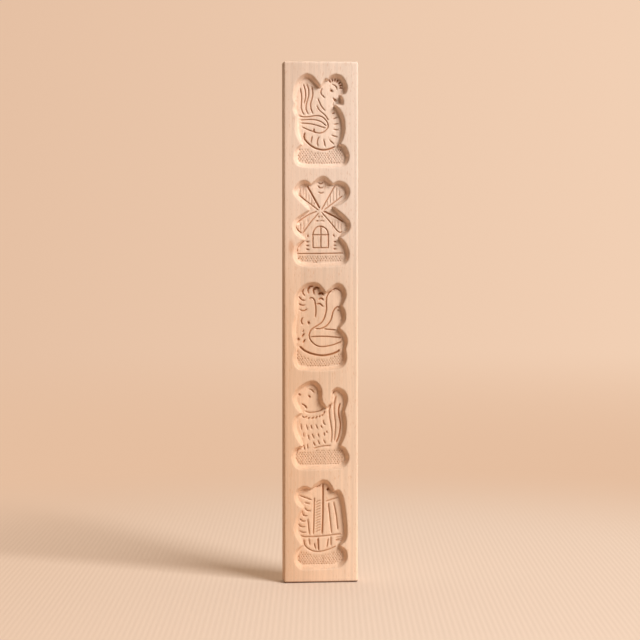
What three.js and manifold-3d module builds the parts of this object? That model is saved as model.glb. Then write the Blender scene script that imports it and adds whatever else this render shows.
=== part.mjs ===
// Speculaas board: one plank of pale beech that stands on its end. Its front has five recesses, one above
// the other, that spiced dough is pressed into: a rooster, a windmill, a bird, a sitting dog and a ship.
// Millimetres. X runs across the board and Z up its length, and the carved face looks towards -Y.
// The origin is the middle of the end that the board stands on.

import * as THREE from "three";
import { RoundedBoxGeometry } from "three/addons/geometries/RoundedBoxGeometry.js";
import { mergeVertices } from "three/addons/utils/BufferGeometryUtils.js";
import Module from "manifold-3d";

const wasm = await Module();
wasm.setup();

// The plank
const sideLand = 7.25; // bare wood between the widest figure and the board's long edge
const topLand = 11.5; // bare wood above the top figure
const woodBehind = 14; // wood between the floor of a recess and the back
const edgeRadius = 2;
const edgeSteps = 3; // facets round each edge

// A recess: a short upright step at its edge, a steep wall, and a flatter foot where the wall meets the
// floor. Runs are measured across the wall, seen from the front. The walls are steeper round the corners of
// the land.
const recessDepth = 6;
const arrisStep = 0.3;
const wallRun = 4.2;
const cornerRun = 1.9;
const cornerReach = 7; // how far from a corner the wall has its full run again
const footShare = 0.4; // of the wall's run
const footRise = 1.1;

// The knife lines in the floor of a recess, each a V with tapered ends
const fineLine = { halfWidth: 0.7, depth: 0.9 };
const boldLine = { halfWidth: 1, depth: 1.3 };
const lineClearance = 0.5; // how far a line's cutter stands above the floor

// How far a straight facet may stray from the curve that it stands for
const wallTolerance = 0.09;
const lineTolerance = 0.15;
const cornerStep = THREE.MathUtils.degToRad(35); // turn of each facet round a sharp corner of the land
const samplesPerSpan = 12;
const sliver = 0.02; // faces thinner than this are merged into their neighbours
const samePoint = 1e-4; // corners closer than this are one

// The figures, from the bottom of the board to its top. landBelow is the bare wood under a figure. An
// outline is a clockwise ring of smooth runs [x, z] that meet at the corners of the land, seen from the
// front and drawn from the figure's own ground line.
const ship = {
  landBelow: 12.6,
  outline: [
    [[-18.2, 59.5], [-23.9, 64], [-26, 70.5], [-24, 77], [-16.9, 81], [-9.7, 78.5]],
    [[-9.7, 78.5], [-4.7, 83.8], [1.5, 87], [8.2, 84.5], [12.9, 75.8]],
    [[12.9, 75.8], [17.1, 77], [21, 72], [23.1, 60], [25.6, 42], [24.8, 29], [19.3, 22.5]],
    [[19.3, 22.5], [24.8, 18], [25.3, 9], [20.2, 2.7], [13.1, 0.4], [-13.9, -0.2], [-21.3, 1.3], [-26, 8.5],
      [-24.9, 18], [-18.2, 23.5]],
    [[-18.2, 23.5], [-24.3, 32], [-26.3, 40], [-23.8, 50.5], [-18.2, 59.5]],
  ],
  bold: [
    [[2.4, 82], [2.4, 64], [2.1, 47.3], [1.5, 33.6]], // main mast
    [[7.1, 77.9], [7.7, 76.4]], // pennant hole
    [[-2.5, 29.3], [-1.9, 18]], // stem post
  ],
  fine: [
    [[-6.1, 68.6], [-6.3, 51.5], [-6.9, 33.4]],
    [[-4.1, 78.8], [0.2, 80.9]],
    [[-20, 70.9], [-12.8, 68], [-8.8, 66.7]], // yards
    [[4.9, 65], [11.3, 67.1], [16.4, 68.7]],
    [[7.6, 63.2], [8.8, 52.8], [9.7, 43], [10.7, 34.3]], // folds of the right sail
    [[12.6, 64.4], [14.8, 54], [16, 43], [16.8, 37.6]],
    [[-15.2, 64], [-10.3, 62.7]], // curls of the left sail
    [[-15.2, 59], [-12.7, 56.2], [-9.3, 56.1]],
    [[-17.4, 53.6], [-15.7, 51.3], [-12.8, 51.3]],
    [[-19.8, 48.4], [-17.4, 46.1], [-14.5, 46.3]],
    [[-21.2, 43], [-18.2, 40.6], [-14.9, 40.8]],
    [[-20.2, 36.8], [-18.2, 35.5], [-14.2, 35.2]],
    [[-12.4, 47.8], [-11.7, 41], [-10.8, 33.4]],
    [[-18.7, 32.2], [-15.8, 31.1], [-3.2, 31.1], [9.2, 32.1], [19.8, 33.3]], // deck
    [[-16.2, 28.4], [-14.5, 21.8], [-6.6, 16.8], [2.1, 16.8], [9.2, 19], [14.7, 21.2]], // keel
    [[-11.3, 28.8], [-10.3, 23]], // planks
    [[7.4, 28.8], [6.2, 20.5]],
    [[10, 30.8], [10.1, 22.2]],
    [[-6.3, 24.7], [-4.8, 19.3]],
    [[14.2, 27.2], [18.6, 27.9]],
  ],
};

const dog = {
  landBelow: 9.1,
  outline: [
    [[-19.2, 54.5], [-24.9, 60.5], [-27.5, 68.5], [-24.9, 76.5], [-18.3, 82.6], [-9.9, 86], [-3.8, 84.5],
      [0.8, 77.5], [1.5, 67], [5.4, 60.3]],
    steep([[5.4, 60.3], [8.4, 67], [10.5, 76]]),
    [[10.5, 76], [15.5, 79.4], [23.2, 75.5], [26.1, 67], [22.8, 56]],
    [[22.8, 56], [24.9, 46], [23.8, 33.5], [19.3, 23]],
    [[19.3, 23], [24.2, 20], [27.3, 11], [23.7, 3], [15.1, 0.3], [0, -0.2], [-14.9, -0.2], [-24.2, 2],
      [-28.5, 11.5], [-26.1, 20.5], [-18.3, 23]],
    [[-18.3, 23], [-23.8, 30.5], [-27.4, 41.5], [-25.5, 51], [-19.2, 54.5]],
  ],
  bold: [
    [[-11.2, 70.9], [-10.4, 69.4]], // eye
    [[-20.6, 72.4], [-20.1, 71.9]], // nose
    [[-17.9, 63], [-15.2, 61.4], [-13.4, 58.8]], // mouth
    [[18.9, 63.2], [17.4, 55.9], [19.3, 42], [17.5, 31.3], [15.2, 25.6]], // tail
  ],
  fine: [
    [[-11.3, 77.2], [-8.9, 76.6], [-6.1, 73.4]], // brow
    [[-14.8, 55.9], [-9.5, 54.5], [-1.1, 56.1], [2.9, 58.4]], // collar
    [[-17.5, 50.9], [-15.5, 49.5]], // tufts under the collar
    [[-14.9, 49.9], [-13.2, 50.9]],
    [[-12.4, 48.4], [-10.5, 49.9]],
    [[-8.7, 48.4], [-6.6, 50.3]],
    [[-5.1, 48.6], [-3.2, 50.9]],
    [[-1.4, 49.9], [-0.3, 51.8]],
    [[1.1, 51.3], [2.5, 52.6]],
    [[3, 53], [4.1, 56]],
    [[-19.2, 43.8], [-18.1, 38]], // fur
    [[-13.8, 42.7], [-12.5, 38]],
    [[-9.3, 42.3], [-8.2, 38.8]],
    [[-4.6, 42.9], [-2.9, 38.8]],
    [[0.2, 42], [1.6, 39.7]],
    [[2.5, 47.2], [2.9, 44.5], [4.4, 42.7]],
    [[-16.4, 35.2], [-16.2, 31]],
    [[-12.2, 33.1], [-11, 28.6]],
    [[-8.4, 34.2], [-6.3, 29.6]],
    [[-2.6, 34.6], [-1.5, 30.5]],
    [[3.4, 35.2], [3.9, 32.3]],
    [[5.7, 36.5], [6.6, 34.8]],
    [[-7, 26.2], [-5.3, 22.7]],
    [[-2.6, 27.9], [-0.9, 23.8]],
    [[2.9, 28.3], [4.7, 24.4]],
    [[-12.7, 24.2], [-12.4, 19.6]],
    [[-16.2, 23], [-15.2, 18.8]],
    [[-6.6, 20], [-3.6, 20.6], [1, 21.9], [9.7, 22.5]], // edge of the ground
    [[-22.8, 16.9], [-21.8, 18.9], [-19.4, 19.4]],
    [[13.5, 75.1], [10, 68.7], [8.3, 58.8], [9.1, 48], [11, 34], [10.2, 25.8]], // tail
    [[15.1, 70.5], [13.1, 60], [14.5, 42], [13.2, 27.5]],
  ],
};

const bird = {
  landBelow: 8.9,
  outline: [
    [[-24.7, 53], [-25.7, 62], [-25.1, 72], [-21.5, 78.5], [-15.4, 83.5], [-9, 85.4], [-1.8, 83.8],
      [4.6, 75.8]],
    [[4.6, 75.8], [10.3, 82], [16.5, 84.5], [22.2, 81], [24.6, 72], [20.6, 62.5]],
    [[20.6, 62.5], [23.7, 56.5], [23.5, 48], [18.3, 41]],
    [[18.3, 41], [24.3, 34.5], [25.7, 27.5], [23.8, 21]],
    [[23.8, 21], [25.1, 12], [22.2, 4.7], [15.1, 1], [0, 0.2], [-14.8, 0.3], [-23.6, 3], [-27.1, 12],
      [-24.7, 23]],
    [[-24.7, 23], [-27.7, 36], [-27.3, 45], [-24.7, 53]],
  ],
  bold: [
    [[-11.7, 46.6], [-11.4, 45.8]], // eye
    [[-21.2, 31.3], [-21.2, 29.4]],
    [[-20, 23.3], [-12.4, 17.7], [1.4, 14.5], [13.8, 16.9], [18.4, 19.8]], // belly
  ],
  fine: [
    [[-19.8, 58.7], [-16.2, 57.6], [-13, 59.5]], // crest, round from the beak
    [[-20.8, 64.5], [-17.4, 62.8], [-14.9, 63.3]],
    [[-20.7, 71.2], [-17.4, 67.9], [-14.9, 67.8]],
    [[-16.2, 78.7], [-17.2, 75.3], [-15.3, 72]],
    [[-9.9, 80.6], [-12, 77], [-11.3, 74.3]],
    [[-4, 79], [-6.5, 77], [-6.1, 73.3]],
    [[-2, 73.7], [0.1, 74.6], [1.6, 73.9]],
    [[-1.6, 69.1], [1.1, 69.7], [3, 68.1]],
    [[-3.6, 64.3], [-0.3, 64.3], [2.4, 61.6]],
    [[-10.9, 68.7], [-9, 70.1], [-5.8, 67.6], [-4.5, 58], [-5.1, 51.6]], // cheek
    [[-17.2, 51.2], [-18.6, 48], [-17.2, 44.5]], // beak
    [[-15.8, 35.8], [-17.9, 32.5]],
    [[-14.9, 30], [-16.9, 27]],
    [[18.8, 76.6], [14.7, 78.8], [9, 75.7], [5.7, 69.5], [5.6, 58.7], [1.8, 47.2], [-9.2, 39],
      [-10.5, 31.3], [-4.9, 24.8], [2.9, 23], [14.7, 25.6], [20.2, 27.9]], // neck and wing
    [[18, 60.8], [16.6, 61.5], [13, 58.3], [9.7, 48.3], [5.1, 42.6], [-0.3, 40.4], [-4.9, 40.4]], // tail
    [[3.6, 40], [14.7, 39]],
    [[-9.5, 32.5], [1, 32.9], [19.9, 31.6]],
  ],
};

const windmill = {
  landBelow: 14.3,
  outline: [
    [[-11.7, 54.5], [-18.1, 60.5], [-24.9, 67.5], [-27, 73], [-24.5, 78], [-20.4, 82], [-14.9, 82.9],
      [-9.9, 79.5]],
    [[-9.9, 79.5], [-4.2, 83.8], [0.2, 87], [5.1, 86], [11.1, 79.8]],
    [[11.1, 79.8], [17, 82.4], [24.2, 79.8], [27.9, 72.5], [25.8, 65], [20.2, 60], [13.3, 57]],
    [[13.3, 57], [22.2, 50], [28.3, 42], [26.6, 33.5], [19.3, 27.8]],
    [[19.3, 27.8], [24.3, 22.5], [27.6, 13], [25.5, 5], [19.1, 1], [0, 0], [-15.8, 0.3], [-23.6, 3.5],
      [-27, 11.5], [-24.9, 20.5], [-16.7, 26.5]],
    [[-16.7, 26.5], [-24, 30.5], [-27.5, 38.5], [-25.9, 45], [-20.3, 49.3], [-11.7, 54.5]],
  ],
  bold: [
    [[-0.9, 56.2], [-12.7, 77.2]], // upper left sail
    [[2.9, 53.3], [13, 48.4], [22.1, 43]], // lower right sail
  ],
  fine: [
    [[-2.1, 54.2], [-21.4, 69]],
    [[0.8, 54.6], [6.4, 64.4], [13.8, 77.6]], // upper right sail
    [[3.5, 54.5], [21.2, 67.9]],
    [[-3.6, 53.1], [-10.3, 50.3], [-22.9, 41.7], [-22.2, 35.9], [-18, 32.4]], // lower left sail
    [[-2, 51.3], [-9.3, 43], [-17.1, 32.2]],
    [[1.1, 52.1], [8.5, 43.8], [17.4, 33.4], [21, 34]],
    [[-2.1, 80.4], [0.2, 79.4], [2.5, 80.9]], // cap
    [[-2.6, 77.3], [0.2, 75.3], [2.5, 76.3]],
    [[-2, 71.5], [0.2, 70.5], [2.9, 71.1]],
    [[-1.6, 48.4], [-1.6, 47.6]],
    [[1.4, 48.2], [1.4, 47.4]],
    [[-3.9, 43.8], [-2.4, 43.9]],
    [[0, 44], [0.8, 44]],
    [[2, 43.9], [3, 43.9]],
    [[-7.3, 18.2], [-7.3, 31.5], [-4.5, 37.2], [0.3, 38.7], [5.5, 36.1], [7.4, 30.5],
      [7.4, 18.2]], // window
    [[-7.3, 18.2], [7.4, 18.2]],
    [[-7.3, 30.6], [7.4, 30.6]],
    [[0.3, 18.2], [0.3, 38.7]],
    [[-12.4, 30.7], [-12, 28.4]], // marks beside the window
    [[-13.7, 24], [-11.3, 23.9]],
    [[-13.7, 20.2], [-11.2, 20.2]],
    [[-13.8, 17.1], [-11.2, 16.2]],
    [[12.5, 30.9], [13.1, 29]],
    [[12.8, 24.1], [15.1, 23.9]],
    [[13, 20.5], [14.8, 20.5]],
    [[12.8, 17.2], [14.8, 17]],
    [[-22.4, 12.6], [-0.3, 12.6], [21.8, 13.1]], // top of the ground
    [[-22.4, 14.6], [-21.2, 19.2], [-15.9, 24.9]],
  ],
};

const rooster = {
  landBelow: 7.4,
  outline: [
    [[-25.2, 62], [-27, 68], [-25.4, 79], [-21.1, 86.2], [-14, 90.2], [-6.8, 87], [-0.6, 78.5]],
    [[-0.6, 78.5], [2.5, 84], [4.2, 85.6], [6.4, 85]],
    [[6.4, 85], [9.7, 88.8], [15, 89.9], [21.2, 87], [25.5, 78], [23.9, 71], [19.8, 69]],
    [[19.8, 69], [21.9, 64], [20.7, 59.5], [14.8, 59.5]],
    [[14.8, 59.5], [19.3, 55], [22.9, 46], [23.3, 37], [21.6, 28.5], [18.8, 23]],
    [[18.8, 23], [23.7, 21], [27.3, 12], [24.7, 3.5], [18.1, 0.6], [0, 0.2], [-15.8, 0.6], [-23.2, 3],
      [-26.1, 10], [-24.4, 18], [-18.7, 22.5]],
    [[-18.7, 22.5], [-23.6, 31], [-24.9, 40], [-23.7, 49]],
    [[-23.7, 49], [-27, 55.5], [-25.2, 62]],
  ],
  bold: [
    [[-15.2, 33.7], [-15.2, 27.8], [-7.4, 20.3], [1.6, 17.5], [8.5, 18.3], [13.7, 20.5]], // belly
    [[9.7, 74.7], [11.2, 73.2]], // eye
    [[13, 66], [14.8, 64.1]], // beak
  ],
  fine: [
    [[-19.4, 76], [-18.1, 68], [-18.5, 57], [-15.8, 51]], // tail
    [[-16.4, 80], [-14.3, 70], [-15.9, 61.6]],
    [[-13.3, 80], [-11.3, 72], [-14, 58], [-11.8, 51.6]],
    [[-8.3, 77.6], [-7.5, 70], [-9.7, 60], [-7.5, 52.2]],
    [[-2.6, 66.4], [0.7, 59.5], [4.2, 55]], // neck
    [[-3.6, 59.7], [-0.8, 55], [4.7, 50.3], [7.4, 46]],
    [[1.5, 76.4], [0.3, 71.7], [4.1, 67]], // cheek
    [[11.3, 80.1], [14.7, 78.2], [15.8, 74.9]], // brow
    [[-20.4, 49.9], [-14.5, 48.7], [-1.6, 50], [5.1, 45.8], [7.2, 39.6], [2.1, 34.1], [-5.3, 34.2],
      [-17.5, 39.1]], // wing
    [[-19.2, 45.8], [-7, 46.3], [0.5, 44.3], [5.5, 40.5]],
    [[-18.7, 43], [-8.2, 42], [4.7, 38.3]],
    [[-6.3, 37.6], [-6.3, 34.9]],
    [[11.2, 52.2], [13.7, 53.1]], // breast
    [[12.2, 47], [16.1, 48.8]],
    [[12.8, 41.8], [17.3, 42.5]],
    [[12.6, 37], [17.3, 36.6]],
    [[10.7, 31.4], [16, 29.8]],
    [[8.5, 27.2], [12.8, 23]],
    [[2.9, 27.4], [4.5, 20.9]], // belly feathers
    [[-1.5, 30], [-3.2, 25.5], [-2.5, 21.4]],
    [[-8.2, 30.5], [-9.2, 24.1]],
  ],
};

const figures = [ship, dog, bird, windmill, rooster];

// Points along a smooth run, only as many as keep the facets within the tolerance
function alongCurve(run, tolerance) {
  const curve = new THREE.SplineCurve(run.map(([x, z]) => new THREE.Vector2(x, z)));
  const samples = curve.getPoints((run.length - 1) * samplesPerSpan);
  const kept = [samples[0]];
  let from = 0;
  for (let to = 2; to < samples.length; to += 1) {
    if (farthestFromChord(samples, from, to) > tolerance) {
      from = to - 1;
      kept.push(samples[from]);
    }
  }
  kept.push(samples[samples.length - 1]);
  return kept;
}

function farthestFromChord(points, from, to) {
  const chord = points[to].clone().sub(points[from]);
  const length = chord.length();
  let farthest = 0;
  for (let i = from + 1; i < to; i += 1) {
    const across = Math.abs(chord.cross(points[i].clone().sub(points[from]))) / length;
    farthest = Math.max(farthest, across);
  }
  return farthest;
}

// Marks a run of an outline whose wall stays as steep as it is at a corner
function steep(run) {
  return Object.assign(run, { steep: true });
}

// The closed ring of points of an outline, each with the run that its wall has there
function outlineRing(outline) {
  return outline.flatMap((run) => {
    const points = alongCurve(run, wallTolerance);
    const along = [0];
    for (let i = 1; i < points.length; i += 1) {
      along.push(along[i - 1] + points[i].distanceTo(points[i - 1]));
    }
    const total = along[along.length - 1];
    const ring = points.map((at, i) => {
      const fromCorner = run.steep ? 0 : Math.min(along[i], total - along[i]);
      const share = THREE.MathUtils.smoothstep(fromCorner, 0, cornerReach);
      return { at, wall: THREE.MathUtils.lerp(cornerRun, wallRun, share) };
    });
    return ring.slice(0, -1);
  });
}

// A closed geometry as a solid that can be cut, without the faces that have shrunk to a line
function solidFrom(geometry) {
  const bare = new THREE.BufferGeometry();
  bare.setAttribute("position", geometry.getAttribute("position").clone());
  bare.setIndex(geometry.getIndex());
  const merged = mergeVertices(bare, samePoint);
  const corners = merged.getIndex().array;
  const triangles = [];
  for (let i = 0; i < corners.length; i += 3) {
    const [a, b, c] = corners.slice(i, i + 3);
    if (a !== b && b !== c && c !== a) {
      triangles.push(a, b, c);
    }
  }
  const vertProperties = new Float32Array(merged.getAttribute("position").array);
  const triVerts = new Uint32Array(triangles);
  return new wasm.Manifold(new wasm.Mesh({ numProp: 3, vertProperties, triVerts }));
}

// A closed solid through equal sections. Each section runs anticlockwise seen from the loft's far end.
function loft(sections) {
  const perSection = sections[0].length;
  const position = sections.flat().flatMap((point) => point.toArray());
  const index = [];
  for (let s = 0; s + 1 < sections.length; s += 1) {
    for (let k = 0; k < perSection; k += 1) {
      const next = (k + 1) % perSection;
      const near = s * perSection;
      const far = near + perSection;
      index.push(near + k, near + next, far + next, near + k, far + next, far + k);
    }
  }
  const last = (sections.length - 1) * perSection;
  for (let k = 1; k + 1 < perSection; k += 1) {
    index.push(0, k + 1, k, last, last + k, last + k + 1);
  }
  const geometry = new THREE.BufferGeometry();
  geometry.setAttribute("position", new THREE.Float32BufferAttribute(position, 3));
  geometry.setIndex(index);
  return solidFrom(geometry);
}

const thickness = recessDepth + woodBehind;
const frontFace = -thickness / 2;

// A point of the carving: across and up as seen from the front, and its depth behind the front face
function carved(point, depth) {
  return new THREE.Vector3(point.x, frontFace + depth, point.y);
}

// The direction a quarter turn to the right of another
function rightOf(direction) {
  return new THREE.Vector2(direction.y, -direction.x);
}

// The wood of a recess's wall, cut across, from the recess's edge inward
function wallSection(edge, inward) {
  const belowFloor = 1;
  const footRun = footShare * edge.wall;
  const profile = [
    [0, arrisStep],
    [edge.wall - footRun, recessDepth - footRise],
    [edge.wall + (belowFloor * footRun) / footRise, recessDepth + belowFloor],
    [0, recessDepth + belowFloor],
  ];
  return profile.map(([run, depth]) => carved(edge.at.clone().addScaledVector(inward, run), depth));
}

// The walls all round a recess: a straight piece on each facet, and a fan where a corner of the land
// points in
function wallPieces(ring) {
  const inward = ring.map((edge, i) => {
    const next = ring[(i + 1) % ring.length];
    return rightOf(next.at.clone().sub(edge.at).normalize());
  });
  const pieces = [];
  ring.forEach((edge, i) => {
    const next = (i + 1) % ring.length;
    pieces.push(loft([wallSection(edge, inward[i]), wallSection(ring[next], inward[i])]));
    const turn = Math.atan2(inward[i].cross(inward[next]), inward[i].dot(inward[next]));
    if (turn > 0) {
      pieces.push(loft(fanSections(ring[next], inward[i], turn)));
    }
  });
  return pieces;
}

// Sections that turn about a point of the recess's edge
function fanSections(edge, inward, turn) {
  const steps = Math.ceil(turn / cornerStep);
  const sections = [];
  for (let i = 0; i <= steps; i += 1) {
    const direction = inward.clone().rotateAround(new THREE.Vector2(), (turn * i) / steps);
    sections.push(wallSection(edge, direction));
  }
  return sections;
}

// A recess's cutter: its outline cut straight down from above the face, less the walls
function recessCutter(ring, foot) {
  const proud = 1;
  const block = new THREE.ExtrudeGeometry(new THREE.Shape(ring.map(({ at }) => at)), {
    depth: recessDepth + proud,
    bevelEnabled: false,
  });
  block.rotateX(Math.PI / 2);
  block.translate(0, frontFace + recessDepth, 0);
  const open = wallPieces(ring).reduce((cutter, wall) => cutter.subtract(wall), solidFrom(block));
  return open.translate(0, 0, foot);
}

// A knife line's cutter: a V along the line that rises out of the floor beyond each end
function lineCutter(run, line, foot) {
  const path = alongCurve(run, lineTolerance);
  const rise = lineClearance / line.depth;
  const halfWidth = line.halfWidth * (1 + rise);
  const top = recessDepth - lineClearance;
  const bottom = recessDepth + line.depth;
  const sections = path.map((point, i) => {
    const before = path[Math.max(i - 1, 0)];
    const after = path[Math.min(i + 1, path.length - 1)];
    const right = rightOf(after.clone().sub(before).normalize());
    return [
      carved(point.clone().addScaledVector(right, -halfWidth), top),
      carved(point.clone().addScaledVector(right, halfWidth), top),
      carved(point, bottom),
    ];
  });
  const tip = (end, inner) => {
    const beyond = end.clone().sub(inner).setLength(halfWidth);
    const point = carved(end.clone().add(beyond), top);
    return [point, point, point];
  };
  sections.unshift(tip(path[0], path[1]));
  sections.push(tip(path[path.length - 1], path[path.length - 2]));
  return loft(sections).translate(0, 0, foot);
}

// Stack the figures up the board, each above the last, and cut them from the plank
function carvedPlank() {
  const cutters = [];
  let reached = 0;
  let halfWidth = 0;
  for (const figure of figures) {
    const ring = outlineRing(figure.outline);
    const bounds = new THREE.Box2().setFromPoints(ring.map(({ at }) => at));
    const foot = reached + figure.landBelow - bounds.min.y;
    cutters.push(
      recessCutter(ring, foot),
      ...figure.bold.map((run) => lineCutter(run, boldLine, foot)),
      ...figure.fine.map((run) => lineCutter(run, fineLine, foot)),
    );
    reached = foot + bounds.max.y;
    halfWidth = Math.max(halfWidth, -bounds.min.x, bounds.max.x);
  }
  const length = reached + topLand;
  const width = 2 * (halfWidth + sideLand);
  const plank = new RoundedBoxGeometry(width, thickness, length, edgeSteps, edgeRadius);
  plank.translate(0, 0, length / 2);
  const cut = cutters.reduce((wood, cutter) => wood.subtract(cutter), solidFrom(plank));
  return cut.asOriginal().simplify(sliver);
}

// A cut solid's surface
function geometryFrom(solid) {
  const mesh = solid.getMesh();
  const geometry = new THREE.BufferGeometry();
  geometry.setAttribute("position", new THREE.BufferAttribute(mesh.vertProperties, 3));
  geometry.setIndex(new THREE.BufferAttribute(mesh.triVerts, 1));
  return geometry;
}

const beech = new THREE.MeshStandardMaterial({
  color: 0xeccaa9,
  roughness: 0.6,
  metalness: 0,
  flatShading: true,
});

const board = new THREE.Mesh(geometryFrom(carvedPlank()), beech);
board.name = "board";

const speculaasBoard = new THREE.Group();
speculaasBoard.add(board);

export default speculaasBoard;
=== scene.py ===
# A speculaas board of pale beech that stands on its end, with five figures carved into its front.
# The frame's solid gives the outlines, the walls and the knife lines. This script makes them smooth, adds
# the finest cuts, and sets the wood, the light, the floor and the camera.
# The carving is worked out in millimetres: x across the board, z up it, and depth behind the front face.

import math
import random
from collections import defaultdict, namedtuple

import bmesh
import bpy
import numpy as np
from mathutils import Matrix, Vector, noise
from mathutils.geometry import delaunay_2d_cdt
from mathutils.kdtree import KDTree


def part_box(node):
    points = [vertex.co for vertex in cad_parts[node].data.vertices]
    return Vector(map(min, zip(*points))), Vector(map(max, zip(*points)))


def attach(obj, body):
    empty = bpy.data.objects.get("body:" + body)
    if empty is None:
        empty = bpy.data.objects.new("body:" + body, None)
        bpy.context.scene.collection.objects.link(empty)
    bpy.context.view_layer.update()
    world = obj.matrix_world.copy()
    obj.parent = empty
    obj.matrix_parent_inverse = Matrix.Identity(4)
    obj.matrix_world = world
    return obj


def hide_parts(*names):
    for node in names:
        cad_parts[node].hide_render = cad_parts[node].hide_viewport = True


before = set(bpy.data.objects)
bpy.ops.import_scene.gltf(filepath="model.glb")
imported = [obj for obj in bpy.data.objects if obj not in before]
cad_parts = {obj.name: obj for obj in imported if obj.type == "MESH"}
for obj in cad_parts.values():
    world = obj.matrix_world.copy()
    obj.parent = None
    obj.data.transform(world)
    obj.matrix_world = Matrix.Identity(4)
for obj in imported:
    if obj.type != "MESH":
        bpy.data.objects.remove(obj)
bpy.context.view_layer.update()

MM = 0.001
BOARD = "board"
FIGURES = ("ship", "dog", "bird", "windmill", "rooster")  # from the bottom of the board up

# Reading the solid, in millimetres
SAME_LEVEL = 0.01  # depths that differ by less than this are one level
NEXT_LEVEL = 0.05  # and those that differ by more are two
LEAST_DEPTH = 1.0  # how far the recesses' floor is from the face and from the back, at the least
CUT_BOTTOMS = (0.5, 3.0)  # how far below the floor the bottoms of the solid's cuts lie

# The recesses, in millimetres
ARRIS = 0.4  # how far the edge of a recess is eased, on each side of its outline
WALL_CURVE = 1.05  # 1 is a straight wall, and more is steeper at the top and flatter at the foot
LEAN_LEFT = 0.06  # how much further the walls on the left run in, as a share
LEAN_RIGHT = 0.2  # how much less far those on the right do
LEAN_UP = -0.06  # how much further those along the bottom do, and less far those along the top
LEAN_ONSET = 0.1  # spread of a run's walls, in millimetres, below which it hardly leans
FOOT_DEPTH = 0.8  # how much deeper the foot of a wall is than the floor
FOOT_REACH = 2.2  # how far in from the foot the floor has risen to its own depth
CORNER_TURN = math.radians(24)  # the outline has a corner where it turns to the right by more than this
FLOOR_WAVE = 0.07  # height of the gouge marks in a recess's floor
FLOOR_WAVE_LENGTH = 5.0

# The knife lines, in millimetres
CUT_SLOPE = 1.9  # depth over half width
CUT_EDGE = 0.12  # how far a cut's edges and its bottom are eased
# How much deeper each figure's lines are than the solid's
LINE_GAINS = {"ship": 1.35, "dog": 1.3, "bird": 1.65, "windmill": 1.5, "rooster": 1.5}
DOT_LENGTH = 2.6  # a bold line shorter than this is a gouged dot
BOLD_DEPTH = 1.7  # the least depth of a bold line
DOT_REACH = 0.3  # half the length of a dot's bottom
DOT_DEPTH = 2.5
CORNER_BEND = math.radians(60)  # a knife line has a corner where it turns by more than this
LINE_SHIFT = -0.35  # the finest cuts are moved with the solid's own, which lie this far to the left
TAPER = 2.4  # how far from its end a cut has its full depth, at the most
TAPER_SHARE = 0.4  # and of the cut's own length
OVERRUN = 0.8  # how far a cut fades out beyond the end that the solid has, at the most
OVERRUN_SHARE = 0.2  # and of the cut's own length
SHORT_LENGTH = 4  # a line shorter than this is cut deeper
SHORT_GAIN = 1.3
CLIMB_END = 0.45  # a cut that climbs a wall ends where the wall is this deep, as a share of the floor
CLIMB_SPAN = 0.35  # and has its full depth where it is this much deeper
HAIR_DEPTH = 0.9  # a light stroke of the knife
SCRATCH_DEPTH = 0.7  # a lighter one
STRING_DEPTH = 0.62  # the strings of the windmill's sails
ROPE_DEPTH = 0.85
ROPE_TURNS = 12  # of the rope round the ship's mast
ROPE_LOW = 35.5  # height of the lowest turn above the recess's lowest point
ROPE_RISE = 2.6  # from each turn to the next
COMB_MIDDLE = (13, 77)
COMB_TEETH = range(-4, 126, 21)  # their directions from the comb's middle, in degrees
COMB_REACH = (5.6, 8.4)  # how far from it each starts and ends
COMB_DEPTH = 1.5
PIT_DEPTH = 1.35
PIT_LENGTH = 1.5
PIT_PITCH = 2.45  # along a row
PIT_RISE = 1.75  # from each row to the next
PIT_ENDS = 0.15  # a pit's depth at its ends, as a share
PIT_SPREAD = (0.7, 1.1)  # the depths of the pits, as shares of the usual one
PIT_STRAY = (0.15, 0.12)  # how far a pit strays from its place, across and up
PIT_MARGIN = 0.95  # a pit lies this far in at the least, as a share of the wall's run
PATINA_AND_SHADE_DEPTH = 1.0  # a cut this deep has the whole patina and painted shade
DARKEST = 1.55  # the share of the patina and painted shade in the deepest cuts

# The mesh, in millimetres
OUTLINE_STEP = 0.7
CUT_STEP = 0.6
FINE_STEP = 0.3  # spacing of the points that distances are measured to
FLOOR_GRID = 1.3
LAND_GRID = 3.5
BACK_GRID = 8.0
RIM_STEP = 3.0
RIM_HOLD = 0.6  # a row of points just inside the rounded edges
ROUND_STEPS = 6  # facets round each long edge
WALL_SHARES = (0.24, 0.38, 0.52, 0.66, 0.8, 0.92, 1.06)  # of the wall's run
WALL_GAP = 0.45
CUT_SHARES = ((0.5, 0.22), (1, 0.28), (1.5, 0.4))  # of a cut's half width, and the least gap there
CUT_GAP = 0.25  # along its bottom
OUTLINE_GAP = 0.3
LAND_OFFSETS = (-1.4, -2.8)  # rows of points on the land round each recess
LAND_GAP = 0.7  # as a share of those offsets and of the land's grid
FLOOR_START = 1.1  # where the floor's grid starts, as a share of the wall's run
FLOOR_GAP = 0.85
RIM_GAP = 0.5
FAN_STEP = math.radians(14)  # between the rays round a corner of an outline
MARGIN = 1.0  # how far beyond its own reach a recess or a cut is looked for
BATCH = 500  # points whose cuts are worked out together
WELD = 0.01  # points that are nearer than this become one
MEET = 1e-5  # and so do those of a flat sheet at this

Cut = namedtuple("Cut", "path depth")
Recess = namedtuple("Recess", "name outline floor cuts")


# Reading the frame's solid

def welded(mesh):
    """The corners in millimetres, each once, and the triangles between them"""
    corners = np.array([tuple(vertex.co) for vertex in mesh.vertices]) / MM
    points, place = np.unique(corners.round(3), axis=0, return_inverse=True)
    mesh.calc_loop_triangles()
    triangles = np.array([tuple(triangle.vertices) for triangle in mesh.loop_triangles])
    return points, place.ravel()[triangles]


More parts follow.
